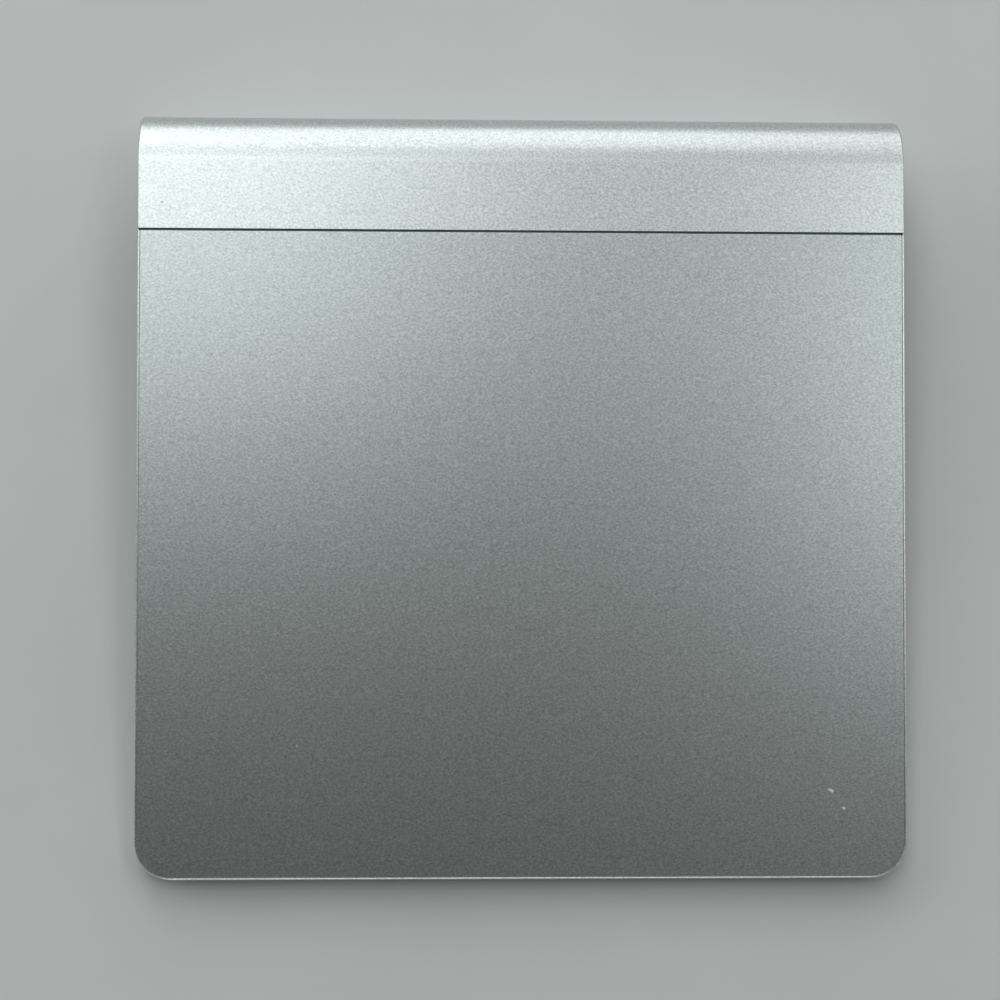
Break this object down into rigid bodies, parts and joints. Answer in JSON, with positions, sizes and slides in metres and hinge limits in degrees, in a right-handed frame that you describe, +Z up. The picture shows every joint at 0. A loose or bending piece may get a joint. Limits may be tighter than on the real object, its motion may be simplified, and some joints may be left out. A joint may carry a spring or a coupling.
{
  "type": "wireless trackpad",
  "caption": "Thin sloping desk trackpad with a satin touch plate in a metal tray, a round battery tube along its back edge, click feet at the front and a power button.",
  "frame": {"origin": "middle of the footprint on the table: the middle of the body's width and depth, at the level that the feet stand on", "axes": "+X to the user's right, +Y from the user to the back edge with the battery tube, +Z up from the table"},
  "size_m": [0.1321, 0.1311, 0.0188],
  "materials": {
    "aluminium": "satin",
    "sheet_aluminium": "satin",
    "touch_glass": "satin",
    "adhesive": "matte",
    "circuit_board": "satin",
    "lamp": "gloss",
    "chip": "matte",
    "tin": "satin",
    "steel": "satin",
    "ceramic": "matte",
    "flex": "satin",
    "dark_plastic": "matte",
    "grey_plastic": "matte",
    "foot_rubber": "matte",
    "seal_rubber": "matte",
    "cell": "satin"
  },
  "bodies": {
    "base": {"chassis": "aluminium", "touch_plate": "touch_glass", "plate_gasket": "adhesive", "touch_sensor": "circuit_board", "stiffener_plate": "sheet_aluminium", "status_led": "lamp", "bottom_cover": "aluminium", "cover_adhesive": "adhesive", "main_board": "circuit_board", "touch_controller": "chip", "radio_chip": "chip", "shield_can": "tin", "crystal": "steel", "power_regulator": "chip", "antenna": "ceramic", "sensor_connector": "dark_plastic", "sensor_flex": "flex", "power_flex": "flex", "board_screws": "steel", "left_hinge_bracket": "steel", "right_hinge_bracket": "steel", "left_hinge_pin": "steel", "right_hinge_pin": "steel", "left_click_spring": "steel", "right_click_spring": "steel", "click_switch": "dark_plastic", "rear_foot": "foot_rubber", "battery_sleeve": "grey_plastic", "left_cell": "cell", "right_cell": "cell", "positive_contact": "tin", "contact_carrier": "dark_plastic", "thread_ring": "grey_plastic", "end_plug": "aluminium", "power_switch": "dark_plastic", "power_board": "circuit_board"},
    "click_rocker": {"click_bar": "steel", "left_foot_plunger": "grey_plastic", "right_foot_plunger": "grey_plastic", "left_foot_pad": "foot_rubber", "right_foot_pad": "foot_rubber"},
    "click_plunger": {"click_switch_button": "grey_plastic"},
    "power_key": {"power_button": "aluminium"},
    "power_plunger": {"power_switch_button": "grey_plastic"},
    "cap_carriage": {"cap_spring": "steel"},
    "cap": {"battery_cap": "aluminium", "cap_seal": "seal_rubber"}
  },
  "joints": [
    {"name": "click_tilt", "type": "hinge", "parent": "base", "child": "click_rocker", "pos_m": [0, -0.03146, 0.00615], "axis": [-1, 0, 0], "range_deg": [0, 0.95], "stiffness_Nm_per_rad": 0.2, "springref_deg": -8.59, "deforming": ["left_click_spring", "right_click_spring"]},
    {"name": "click_switch_press", "type": "slide", "parent": "base", "child": "click_plunger", "axis": [0, -0.112, 0.9937], "range_m": [0, 0.000235]},
    {"name": "power_press", "type": "slide", "parent": "base", "child": "power_key", "axis": [-1, 0, 0], "range_m": [0, 0.0005], "stiffness_N_per_m": 1500, "springref_m": -0.0007},
    {"name": "power_switch_press", "type": "slide", "parent": "base", "child": "power_plunger", "axis": [-1, 0, 0], "range_m": [0, 0.0005]},
    {"name": "cap_slide", "type": "slide", "parent": "base", "child": "cap_carriage", "axis": [-1, 0, 0], "range_m": [0, 0.009]},
    {"name": "cap_turn", "type": "hinge", "parent": "cap_carriage", "child": "cap", "pos_m": [0, 0.05676, 0.01], "axis": [-1, 0, 0], "range_deg": [0, 2160.5]}
  ],
  "couplings": [
    {"joint": "click_switch_press", "follows": "click_tilt", "m_per_rad": 0.014},
    {"joint": "power_switch_press", "follows": "power_press", "ratio": 1},
    {"joint": "cap_turn", "follows": "cap_slide", "rad_per_m": 4188.8}
  ]
}
